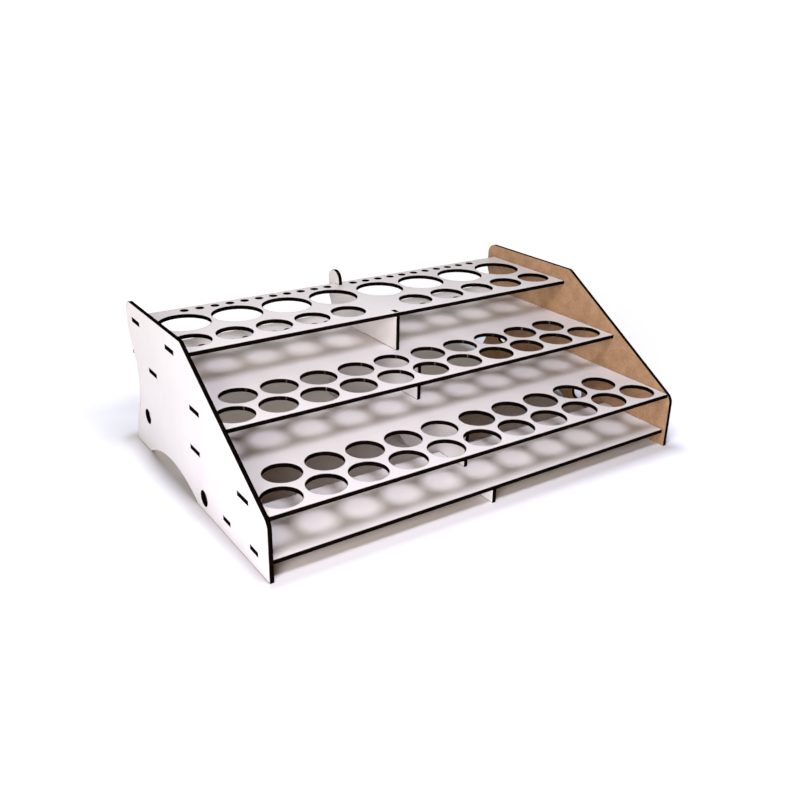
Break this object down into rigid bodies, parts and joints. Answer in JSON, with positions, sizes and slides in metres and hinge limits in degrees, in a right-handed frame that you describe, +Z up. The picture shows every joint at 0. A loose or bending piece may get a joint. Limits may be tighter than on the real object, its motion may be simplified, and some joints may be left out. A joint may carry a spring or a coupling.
{
  "type": "paint and tool rack",
  "caption": "Stepped desktop rack of flat boards between side panels, with rows of round holes for paint bottles, jars and brushes.",
  "frame": {"origin": "centre of the footprint, on the plane that the rack stands on", "axes": "+X across to the right, seen from the front; -Y is the front; +Z up"},
  "size_m": [0.36, 0.2408, 0.1192],
  "materials": {
    "white_faced_hardboard": "satin white face, charred brown edges",
    "brown_hardboard": "raw brown face inwards, white face outwards"
  },
  "bodies": {
    "root": {"left_side_panel": "white_faced_hardboard", "right_side_panel": "brown_hardboard", "centre_panel": "white_faced_hardboard", "top_shelf": "white_faced_hardboard", "middle_shelf": "white_faced_hardboard", "lower_shelf": "white_faced_hardboard", "base_shelf": "white_faced_hardboard"}
  },
  "joints": []
}
